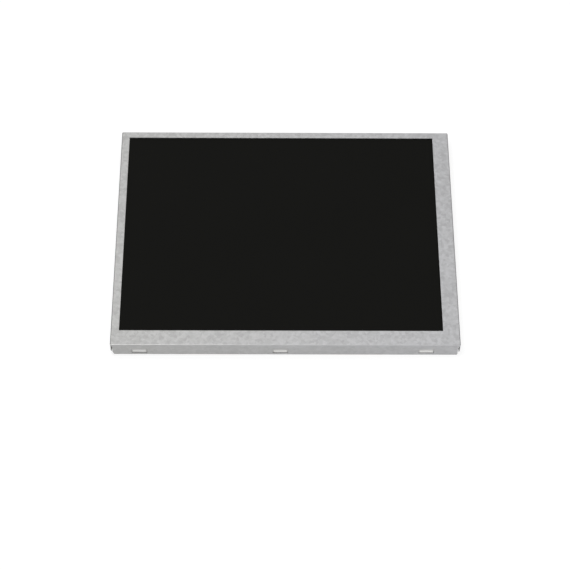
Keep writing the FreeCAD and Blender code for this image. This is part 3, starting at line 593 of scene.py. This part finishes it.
class Relief:
    """Fine raised detail on the rear face of the board, drawn in millimetres."""

    def __init__(self):
        self.mesh = bmesh.new()

    def corner(self, x, y, height):
        return self.mesh.verts.new((x * MM, y * MM, (rear - height) * MM))

    def loop(self, outline, height):
        return [self.corner(x, y, height) for x, y in outline]

    def wall(self, lower, upper):
        for index in range(len(lower)):
            after = (index + 1) % len(lower)
            self.mesh.faces.new((lower[index], lower[after], upper[after], upper[index]))

    def patch(self, outline, height):
        """A flat-topped patch over an outline, sunk a little into the board."""
        foot = self.loop(outline, -sink)
        crest = self.loop(outline, height)
        self.wall(foot, crest)
        self.mesh.faces.new(crest)
        self.mesh.faces.new(foot[::-1])

    def ring(self, x, y, outer, inner, height):
        """A flat ring."""
        loops = [
            self.loop(circle(x, y, radius), level)
            for radius, level in ((outer, -sink), (outer, height), (inner, height), (inner, -sink))
        ]
        for index, loop in enumerate(loops):
            self.wall(loop, loops[(index + 1) % len(loops)])

    def dome(self, outline, height, crown, shrink):
        """A patch with a rounded crown, as solder sets on a land."""
        middle_x = sum(x for x, _ in outline) / len(outline)
        middle_y = sum(y for _, y in outline) / len(outline)
        levels = [(-sink, 1.0), (height, 1.0)]
        levels += [((height + crown) / 2, 1 - shrink / 2), (crown, 1 - shrink)]
        loops = []
        for level, share in levels:
            scaled = [
                (middle_x + (x - middle_x) * share, middle_y + (y - middle_y) * share)
                for x, y in outline
            ]
            loops.append(self.loop(scaled, level))
        for below, above in zip(loops, loops[1:]):
            self.wall(below, above)
        self.mesh.faces.new(loops[-1])
        self.mesh.faces.new(loops[0][::-1])

    def fillet(self, x, y, way, width, height, reach):
        """A hollow-faced solder fillet against a metal end, which spreads out along a way."""
        out = Vector(way).normalized()
        across = Vector((-out.y, out.x))
        foot = Vector((x, y))
        section = [(0.0, -sink, 1.0), (0.0, height, 0.9), (0.14, 0.72 * height, 0.92)]
        section += [(0.38, 0.36 * height, 0.97), (0.7, 0.12 * height, 1.0), (1.0, 0.02, 1.0)]
        section.append((1.0, -sink, 1.0))
        sides = []
        for hand in (-0.5, 0.5):
            side = []
            for distance, level, share in section:
                point = foot + out * distance * reach + across * hand * width * share
                side.append(self.corner(point.x, point.y, level))
            sides.append(side)
        self.wall(sides[0], sides[1])
        self.mesh.faces.new(sides[0])
        self.mesh.faces.new(sides[1][::-1])

    def finish(self, name, material, slot):
        """Turns the drawing into a piece that rides on the module."""
        bmesh.ops.recalc_face_normals(self.mesh, faces=self.mesh.faces)
        for face in self.mesh.faces:
            face.smooth = True
        for edge in self.mesh.edges:
            edge.smooth = edge.calc_face_angle(0.0) < sharp_angle
        mesh = bpy.data.meshes.new(name)
        self.mesh.to_mesh(mesh)
        self.mesh.free()
        mesh.materials.append(material)
        piece = bpy.data.objects.new(name, mesh)
        bpy.context.scene.collection.objects.link(piece)
        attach(piece, "module")


track_width = 0.16
track_height = 0.03
track_start = 0.25
ink_width = 0.15
ink_height = 0.04
land_height = 0.035
land_margin = 0.08
via_radius = 0.21
via_hole = 0.1

tracks = Relief()
vias = Relief()
via_wells = Relief()
lands = Relief()
solder = Relief()
ink = Relief()


def via(x, y):
    """A small plated hole, filled level with dark lacquer."""
    vias.ring(x, y, via_radius, via_hole, land_height)
    via_wells.patch(circle(x, y, via_hole), land_height * 0.6)


def track(*path, width=track_width):
    """A track along a path in plan."""
    tracks.patch(band(path, width), track_height)


def land(start, end, width):
    """A bare land from one place in plan to another."""
    lands.patch(band([start, end], width), land_height / 2)


def shifted_track(axis, start, end, lead):
    """A track that leaves along an axis, shifts over at 45 degrees and arrives along the axis."""
    way = math.copysign(1, end[axis] - start[axis])
    shift = abs(end[1 - axis] - start[1 - axis])
    if shift < track_width / 2:
        track(start, end)
        return
    turn = list(start)
    turn[axis] += way * lead
    arrival = list(end)
    arrival[axis] = turn[axis] + way * shift
    track(start, turn, arrival, end)


def solder_passives():
    """Lands and solder fillets at both ends of every chip capacitor and resistor."""
    cap_share = 1 / 3
    climb = 0.6
    for node, reach in (("chip_capacitors", 0.42), ("chip_resistors", 0.28)):
        for low, high in islands(node):
            size = high - low
            axis = along_x if size.x > size.y else along_y
            length = size[axis]
            width = size[1 - axis]
            height = climb * size.z
            middle = (low + high) / 2
            for hand in (-1, 1):
                way = [0, 0]
                way[axis] = hand
                end = [middle.x, middle.y]
                end[axis] += hand * length * (0.5 + cap_share)
                solder.fillet(*end, way, width, height, reach)
                inner = [middle.x, middle.y]
                inner[axis] += hand * length * 0.5
                outer = list(end)
                outer[axis] += hand * (reach + land_margin)
                land(inner, outer, width + 2 * land_margin)


def chip_feet():
    """(x, y, way, width) of each chip lead's toe, from the leads' own solids."""
    chips = islands("display_controller") + islands("converter_chips")
    feet = []
    for low, high in islands("chip_leads"):
        middle = (low + high) / 2
        box = min(chips, key=lambda chip: ((chip[0] + chip[1]) / 2 - middle).length)
        gap_x = max(box[0].x - middle.x, middle.x - box[1].x)
        gap_y = max(box[0].y - middle.y, middle.y - box[1].y)
        axis = along_x if gap_x > gap_y else along_y
        hand = math.copysign(1, 2 * middle[axis] - box[0][axis] - box[1][axis])
        toe = [middle.x, middle.y]
        toe[axis] = high[axis] if hand > 0 else low[axis]
        way = (hand, 0) if axis == along_x else (0, hand)
        feet.append((*toe, way, (high - low)[1 - axis]))
    return feet


def solder_leads():
    """A land and a toe fillet under the foot of every chip lead."""
    foot_length = 0.5
    reach = 0.22
    climb = 0.12
    for x, y, way, width in chip_feet():
        toe = Vector((x, y))
        out = Vector(way)
        land(toe - out * foot_length, toe + out * (reach + land_margin), width + land_margin)
        solder.fillet(x, y, way, width, climb, reach)


def solder_socket():
    """Lands and fillets at the socket's contact tails and at its two solder tabs."""
    tail_reach = 0.3
    tail_climb = 0.11
    tail_cover = 0.6
    tab_reach = 0.35
    tab_climb = 0.14
    tab_cover = 0.8
    tab_land = 0.45
    for low, high in islands("socket_contacts"):
        x = (low.x + high.x) / 2
        width = high.x - low.x
        solder.fillet(x, low.y, (0, -1), width, tail_climb, tail_reach)
        bottom = low.y - tail_reach - land_margin
        land((x, bottom), (x, low.y + tail_cover), width + land_margin)
    for low, high in islands("socket_solder_tabs"):
        hand = math.copysign(1, low.x + high.x - 2 * socket_middle)
        outer = high.x if hand > 0 else low.x
        y = (low.y + high.y) / 2
        width = high.y - low.y
        solder.fillet(outer, y, (hand, 0), width, tab_climb, tab_reach)
        ends = [(outer - hand * tab_cover, y), (outer + hand * tab_land, y)]
        land(*ends, width + 2 * land_margin)


def solder_inductors():
    """The inductors' end terminals, bedded in solder."""
    width = 2.0
    climb = 0.5
    reach = 0.45
    half_land = 0.6
    land_width = 2.3
    for low, high in islands("power_inductors"):
        y = (low.y + high.y) / 2
        for x, hand in ((low.x, -1), (high.x, 1)):
            solder.fillet(x, y, (hand, 0), width, climb, reach)
            land((x - half_land, y), (x + half_land, y), land_width)


def parts_along(axis, node):
    """(middle, size) of each solid of a node whose length in plan runs along an axis."""
    parts = [((low + high) / 2, high - low) for low, high in islands(node)]
    return [(middle, size) for middle, size in parts if size[axis] > size[1 - axis]]


def column_of(node, left, right):
    """The middles of a node's solids that lie along X between two places, from the bottom up."""
    middles = [m for m, _ in parts_along(along_x, node) if left < m.x < right]
    return sorted(middles, key=lambda m: m.y)


def controller_tracks():
    """Tracks from the display controller's leads to the small parts that stand round it."""
    lead_circle = 9.0
    column_room = 8.0
    row_below = 2.0
    row_beyond = 3.0
    lower_skip = 2
    upper_skip = 4
    low, high = plan_box("display_controller")
    centre = (low + high) / 2
    near = [f for f in chip_feet() if (Vector(f[:2]) - centre.xy).length < lead_circle]
    right_column = column_of("chip_resistors", high.x, high.x + column_room)
    left_column = column_of("chip_capacitors", board_low.x, low.x - column_room)
    upright_capacitors = [m for m, _ in parts_along(along_y, "chip_capacitors")]
    upright_resistors = [m for m, _ in parts_along(along_y, "chip_resistors")]
    right_limit = high.x + row_beyond
    below = [m for m in upright_capacitors if m.y < low.y - row_below and m.x < right_limit]
    above = [m for m in upright_resistors if m.y > high.y and m.x < high.x]
    lower_row = sorted(below, key=lambda m: m.x)[lower_skip:]
    upper_row = sorted(above, key=lambda m: m.x)[upper_skip:]
    goals = {(1, 0): right_column, (-1, 0): left_column, (0, -1): lower_row, (0, 1): upper_row}
    for way, parts in goals.items():
        side = [foot[:2] for foot in near if foot[2] == way]
        for index, (x, y) in enumerate(sorted(side, key=sum)):
            goal = parts[index // 2] if index % 2 == 0 and index // 2 < len(parts) else None
            if way[0]:
                column_track(x, y, way[0], goal)
            else:
                row_track(x, y, way[1], goal)


def column_track(x, y, way, goal):
    """A track from a lead at the controller's side to a part's land, or to a via close by."""
    via_distance = 0.95
    straight_end = 0.5
    shifted_end = 0.9
    shift_from = 3.2
    start = (x + way * track_start, y)
    if goal is None:
        end = (x + way * via_distance, y)
        track(start, end)
        via(*end)
    elif abs(goal.y - y) < track_width:
        track(start, (goal.x - way * straight_end, goal.y))
    else:
        shifted_track(along_x, start, (goal.x - way * shifted_end, goal.y), shift_from)


def row_track(x, y, way, goal):
    """A track from a lead below or above the controller to a part's land, or to a via close by."""
    via_distance = 0.75
    land_end = 0.6
    turning_room = 1.0
    shift_from = 0.2
    start = (x, y + way * track_start)
    if goal is None or abs(goal.x - x) > abs(goal.y - y) - turning_room:
        end = (x, y + way * via_distance)
        track(start, end)
        via(*end)
    else:
        shifted_track(along_y, start, (goal.x, goal.y - way * land_end), shift_from)


def socket_tracks():
    """Short tracks from the contact tails to two rows of vias, some of them on to the resistors."""
    row_beyond = 4.0
    start_gap = 0.35
    tail_rows = (1.0, 1.6)
    land_end = 0.6
    shift_from = 2.0
    land_start = 0.75
    outer_rows = (1.5, 2.1)
    low, high = plan_box("socket_contacts")
    tails = [((a.x + b.x) / 2, a.y) for a, b in islands("socket_contacts")]
    resistors = [(a + b) / 2 for a, b in islands("chip_resistors")]
    goals = [m for m in resistors if m.x > low.x - row_beyond and m.y < low.y]
    goals.sort(key=lambda m: m.x)
    taken = {}
    for goal in goals:
        free = [index for index in range(len(tails)) if index not in taken]
        taken[min(free, key=lambda index: abs(tails[index][0] - goal.x))] = goal
    for index, (x, y) in enumerate(tails):
        start = (x, y - start_gap)
        if index in taken:
            goal = taken[index]
            shifted_track(along_y, start, (goal.x, goal.y + land_end), shift_from)
        else:
            end = (x, y - tail_rows[index % 2])
            track(start, end)
            via(*end)
    for index, goal in enumerate(goals):
        end = (goal.x, goal.y - outer_rows[index % 2])
        track((goal.x, goal.y - land_start), end)
        via(*end)


def column_tracks():
    """Tracks from the resistor column past the capacitors to a staggered row of vias."""
    column_room = 8.0
    post_room = 10.0
    off_middle = 0.24
    past_posts = 3.4
    stagger = 0.55
    land_start = 0.75
    shift_from = 0.35
    edge = plan_box("display_controller")[1].x
    column = column_of("chip_resistors", edge, edge + column_room)
    posts = column_of("chip_capacitors", column[0].x, column[0].x + post_room)
    gaps = [(a.y + b.y) / 2 for a, b in zip(posts, posts[1:])]
    lines = [gap + side * off_middle for gap in gaps for side in (-1, 1)]
    for index, (resistor, y) in enumerate(zip(column, lines)):
        end = (posts[0].x + past_posts + stagger * (index % 3), y)
        shifted_track(along_x, (resistor.x + land_start, resistor.y), end, shift_from)
        via(*end)


def bus_tracks():
    """A bus across the empty middle of the board, with a via at each end of each track."""
    count = 9
    pitch = 0.5
    length = 23.3
    rise = 2.6
    stagger = 0.45
    left_of_socket = 4.3
    above_edge = 7.4
    turn_from = 6.8
    left = plan_box("socket_contacts")[0].x - left_of_socket
    right = left + length
    bottom = board_low.y + above_edge
    turn = left + turn_from
    for index in range(count):
        offset = index * pitch
        y = bottom + offset
        corner = turn - offset * math.tan(math.pi / 8)
        start = (left + stagger * (index % 2), y)
        end = (right + stagger * (index % 2), y + rise)
        track(start, (corner, y), (corner + rise, y + rise), end)
        via(*start)
        via(*end)


def flex_tracks():
    """Short tracks from the foot of each panel circuit to vias, or to a capacitor's land."""
    rows = (0.32, 0.84)
    overlap = 0.1
    places = [(low.x + high.x) / 2 for low, high in islands("chip_capacitors")]
    widest = max(size.x for _, size in parts_along(along_y, "chip_capacitors"))
    clear = widest / 2 + land_margin + via_radius
    for node in ("left_panel_flex", "right_panel_flex"):
        low, high = plan_box(node)
        foot = max(point.y for point in foot_points(node))
        count = round((high.x - low.x - 2 * flex_margin) / flex_pitch)
        centre = (low.x + high.x) / 2
        for index in range(count):
            x = centre + (index - (count - 1) / 2) * flex_pitch
            end = (x, foot + rows[index % 2])
            track((x, foot - overlap), end)
            on_land = any(abs(x - place) < clear for place in places)
            if index % 2 == 0 or not on_land:
                via(*end)


def foot_points(node):
    """The corners of a folded circuit that lie on the board."""
    foot_depth = 0.2
    limit = plan_box(node)[0].z + foot_depth
    points = [vertex.co / MM for vertex in nodes[node].data.vertices]
    return [point for point in points if point.z < limit]


def tail_solder():
    """Four soldered joints at the end of the backlight's tail."""
    joints = 4
    half_width = 0.42
    on_tail = 0.35
    on_board = 0.6
    heights = (0.05, 0.2)
    shrink = 0.45
    track_from = 0.5
    track_end = 1.6
    broad = 0.4
    foot = foot_points("led_strip_flex")
    left = min(point.x for point in foot)
    right = max(point.x for point in foot)
    edge = max(point.y for point in foot)
    pitch = (right - left) / joints
    for index in range(joints):
        x = left + (index + 0.5) * pitch
        area = rectangle(x - half_width, x + half_width, edge - on_tail, edge + on_board)
        solder.dome(area, *heights, shrink)
        end = (x, edge + track_end)
        track((x, edge + track_from), end, width=broad)
        via(*end)


def power_copper():
    """Broad copper between the converter, its inductor and its capacitors."""
    pitch = 1.1
    row_pitch = 0.8
    lead_gap = 0.6
    neck = 1.5
    under_coil = 1.2
    half_chip = 2.1
    shoulder = 1.1
    reach = 5.6
    top_gap = 2.4
    first_column = 1.4
    first_row = 0.6
    columns = 6
    rows = 2
    coil, other_coil = islands("power_inductors")
    chip_low, chip_high = islands("converter_chips")[0]
    middle = (chip_low.x + chip_high.x) / 2
    start = coil[1].y - under_coil
    neck_area = rectangle(middle - neck, middle + neck, start, chip_low.y - lead_gap)
    tracks.patch(neck_area, track_height)
    bottom = chip_high.y + lead_gap
    top = board_high.y - top_gap
    outline = [
        (middle - half_chip, bottom),
        (middle + half_chip, bottom),
        (middle + half_chip + shoulder, bottom + shoulder),
        (middle + reach, bottom + shoulder),
        (middle + reach, top),
        (middle - half_chip, top),
    ]
    tracks.patch(outline, track_height)
    for column in range(columns):
        for row in range(rows):
            via(middle - first_column + column * pitch, top - first_row - row * row_pitch)
    coil_copper(*other_coil, pitch)


def coil_copper(low, high, pitch):
    """A patch of copper from under an inductor's far end, with a column of vias."""
    from_left = 0.6
    past_right = 2.4
    under_coil = 0.8
    past_coil = 4.6
    via_inset = 1.0
    first_via = 0.4
    count = 4
    right = high.x + past_right
    area = rectangle(low.x + from_left, right, high.y - under_coil, high.y + past_coil)
    tracks.patch(area, track_height)
    for row in range(count):
        via(right - via_inset, high.y + first_via + row * pitch)


def edge_copper():
    """Grounded copper along both ends of the board, stitched with vias."""
    inset = 0.35
    width = 1.3
    end_gap = 1.2
    spacing = 2.4
    above_edge = 4.4
    bottom = board_low.y + above_edge
    top = board_high.y - end_gap
    count = int((top - bottom) / spacing)
    for x in (board_low.x + inset, board_high.x - inset - width):
        tracks.patch(rectangle(x, x + width, bottom, top), track_height)
        for index in range(count):
            share = index / (count - 1)
            via(x + width / 2, bottom + end_gap + share * (top - bottom - 2 * end_gap))


def test_lands():
    """A row of bare round test lands, and a locating mark near three corners of the board."""
    count = 8
    pitch = 2.2
    radius = 0.5
    ring = (1.05, 0.92)
    left_of_socket = 7.4
    above_edge = 3.4
    track_span = (0.45, 1.5)
    via_distance = 1.6
    first = plan_box("socket_contacts")[0].x - left_of_socket
    y = board_low.y + above_edge
    for index in range(count):
        x = first + index * pitch
        lands.patch(circle(x, y, radius), land_height)
        track((x, y + track_span[0]), (x, y + track_span[1]))
        via(x, y + via_distance)
    upper_inset = (4.2, 3.2)
    lower_inset = (7.4, 3.0)
    corners = [
        (board_low.x + upper_inset[0], board_high.y - upper_inset[1]),
        (board_high.x - upper_inset[0], board_high.y - upper_inset[1]),
        (board_high.x - lower_inset[0], board_low.y + lower_inset[1]),
    ]
    for x, y in corners:
        lands.patch(circle(x, y, radius), land_height)
        ink.ring(x, y, *ring, ink_height)


def ink_frame(low, high, side, end, corner):
    """White corner brackets round a part, so far beside it and past its ends."""
    for x, way_x in ((low.x - side, 1), (high.x + side, -1)):
        for y, way_y in ((low.y - end, 1), (high.y + end, -1)):
            path = [(x + way_x * corner, y), (x, y), (x, y + way_y * corner)]
            ink.patch(band(path, ink_width), ink_height)


def printed_marks():
    """Plain white outlines round the chips, coils and socket, with a dot at each first lead."""
    past_leads = 1.6
    first_dot = (2.3, 1.0, 0.3)
    beside_body = 0.45
    beside_leads = 1.5
    dot_gap = 0.5
    dot_radius = 0.2
    round_coil = (0.8, 0.4)
    beside_socket = 2.3
    line_start = 0.2
    mark_width = 1.2
    mark_near = 0.35
    mark_far = 0.9
    controller_corner = 1.2
    converter_corner = 0.7
    coil_corner = 0.9
    low, high = plan_box("display_controller")
    ink_frame(low, high, past_leads, past_leads, controller_corner)
    ink.patch(circle(low.x - first_dot[0], high.y + first_dot[1], first_dot[2]), ink_height)
    for low, high in islands("converter_chips"):
        wide = high.x - low.x > high.y - low.y
        side = beside_body if wide else beside_leads
        end = beside_leads if wide else beside_body
        ink_frame(low, high, side, end, converter_corner)
        ink.patch(circle(low.x - side, high.y + end + dot_gap, dot_radius), ink_height)
    for low, high in islands("power_inductors"):
        ink_frame(low, high, *round_coil, coil_corner)
    low, high = socket_low, socket_high
    for x in (low.x - beside_socket, high.x + beside_socket):
        line = [(x, low.y - line_start), (x, high.y)]
        ink.patch(band(line, ink_width), ink_height)
    mark = [
        (low.x + mark_width / 2, low.y - mark_far),
        (low.x, low.y - mark_near),
        (low.x + mark_width, low.y - mark_near),
    ]
    ink.patch(mark, ink_height)
    side_lines()


def side_lines():
    """A short line on each long side of every chip part, and one between close neighbours."""
    reach = 0.25
    closest = 0.3
    fine_width = ink_width * 0.7
    drawn = []
    for node, gap in (("chip_capacitors", 0.5), ("chip_resistors", 0.32)):
        for low, high in islands(node):
            middle = (low + high) / 2
            half = (high - low) / 2
            axis = along_x if half.x > half.y else along_y
            along = Vector((0, 0))
            along[axis] = half[axis] + reach
            for hand in (-1, 1):
                centre = middle.xy
                centre[1 - axis] += hand * (half[1 - axis] + gap)
                if all((centre - other).length > closest for other in drawn):
                    drawn.append(centre)
                    ink.patch(band([centre - along, centre + along], fine_width), ink_height)


socket_low, socket_high = plan_box("socket_housing")
socket_middle = (socket_low.x + socket_high.x) / 2
solder_passives()
solder_leads()
solder_socket()
solder_inductors()
controller_tracks()
socket_tracks()
column_tracks()
bus_tracks()
flex_tracks()
tail_solder()
power_copper()
edge_copper()
test_lands()
printed_marks()
white_ink = soft_layer("white_ink", (0.74, 0.74, 0.72), (0.84, 0.84, 0.82), 0.15, 0.003, 0.55)
dark_mask = solder_mask("mask_in_hole", shade(board_green, 0.35))
solder_metal = bright_metal("solder", (0.74, 0.74, 0.73), 0.14, 0.34, 0.35)
tracks.finish("board_tracks", lifted_mask, "solder_mask")
vias.finish("board_vias", tin, "tinned_lead")
via_wells.finish("board_via_fill", dark_mask, "solder_mask")
lands.finish("board_lands", tin, "tinned_lead")
solder.finish("solder_fillets", solder_metal, "tinned_lead")
ink.finish("printed_outlines", white_ink, "white_film")


# Floor and light

floor_size = 6.0
floor_white = 0.68
floor_white_to_camera = 0.3
floor_glow_to_camera = 0.75


def seen_directly(tree):
    """1 for rays that show a surface to the camera, also in gloss or glass, and 0 for others."""
    rays = tree.nodes.new("ShaderNodeLightPath").outputs
    seen = math_node(tree, "MAXIMUM", rays["Is Camera Ray"], rays["Is Glossy Ray"])
    return math_node(tree, "MAXIMUM", seen, rays["Is Transmission Ray"])


def switched(tree, seen, hidden_value, seen_value):
    """One value for rays that show the surface and another for the rest."""
    node = tree.nodes.new("ShaderNodeMapRange")
    node.inputs["To Min"].default_value = hidden_value
    node.inputs["To Max"].default_value = seen_value
    tree.links.new(seen, node.inputs["Value"])
    return node.outputs["Result"]


def make_floor():
    """A matt pale floor that shows white and takes shadows from above, and is clear from below."""
    mesh = bpy.data.meshes.new("floor")
    half = floor_size / 2
    corners = [(-half, -half, 0), (half, -half, 0), (half, half, 0), (-half, half, 0)]
    mesh.from_pydata(corners, [], [(0, 1, 2, 3)])
    floor = bpy.data.objects.new("floor", mesh)
    bpy.context.scene.collection.objects.link(floor)
    material = bpy.data.materials.new("floor")
    material.use_nodes = True
    tree = material.node_tree
    surface = tree.nodes["Principled BSDF"]
    surface.inputs["Roughness"].default_value = 1.0
    surface.inputs["Specular IOR Level"].default_value = 0.0
    surface.inputs["Emission Color"].default_value = (1, 1, 1, 1)
    seen = seen_directly(tree)
    tree.links.new(
        switched(tree, seen, floor_white, floor_white_to_camera), surface.inputs["Base Color"]
    )
    tree.links.new(
        switched(tree, seen, 0.0, floor_glow_to_camera), surface.inputs["Emission Strength"]
    )
    clear = tree.nodes.new("ShaderNodeBsdfTransparent")
    underside = tree.nodes.new("ShaderNodeMixShader")
    from_below = tree.nodes.new("ShaderNodeNewGeometry").outputs["Backfacing"]
    shadow = tree.nodes.new("ShaderNodeLightPath").outputs["Is Shadow Ray"]
    tree.links.new(math_node(tree, "MAXIMUM", from_below, shadow), underside.inputs[0])
    tree.links.new(surface.outputs[0], underside.inputs[1])
    tree.links.new(clear.outputs[0], underside.inputs[2])
    tree.links.new(underside.outputs[0], tree.nodes["Material Output"].inputs["Surface"])
    mesh.materials.append(material)


def make_world(strength):
    """An even pale sky above the floor, which shows white to the camera and in reflections."""
    world = bpy.data.worlds.new("world")
    bpy.context.scene.world = world
    world.use_nodes = True
    tree = world.node_tree
    background = tree.nodes["Background"]
    background.inputs["Color"].default_value = (1, 1, 1, 1)
    split = tree.nodes.new("ShaderNodeSeparateXYZ")
    tree.links.new(tree.nodes.new("ShaderNodeTexCoord").outputs["Generated"], split.inputs[0])
    above = math_node(tree, "GREATER_THAN", split.outputs["Z"], 0.0)
    sky = math_node(tree, "MULTIPLY", above, strength)
    glow = switched(tree, seen_directly(tree), 0.0, 1.0)
    tree.links.new(sky, glow.node.inputs["To Min"])
    tree.links.new(glow, background.inputs["Strength"])


def make_lamp(name, place, size, power):
    """A large square lamp that faces the module."""
    data = bpy.data.lights.new(name, "AREA")
    data.shape = "SQUARE"
    data.size = size
    data.energy = power
    lamp = bpy.data.objects.new(name, data)
    lamp.location = place
    lamp.rotation_euler = (-Vector(place)).to_track_quat("-Z", "Y").to_euler()
    lamp.visible_camera = False
    bpy.context.scene.collection.objects.link(lamp)


make_floor()
make_world(0.6)
make_lamp("overhead_lamp", (-0.17, 0.2, 1.2), 1.1, 4.25)
make_lamp("edge_lamp", (-0.3, -0.1, 1.15), 0.25, 2.0)
make_lamp("side_lamp", (0.16, -0.15, 0.035), 0.1, 0.05)
make_lamp("back_lamp", (0.2, -0.15, -1.2), 1.6, 17.0)

bpy.context.scene.view_settings.view_transform = "Standard"
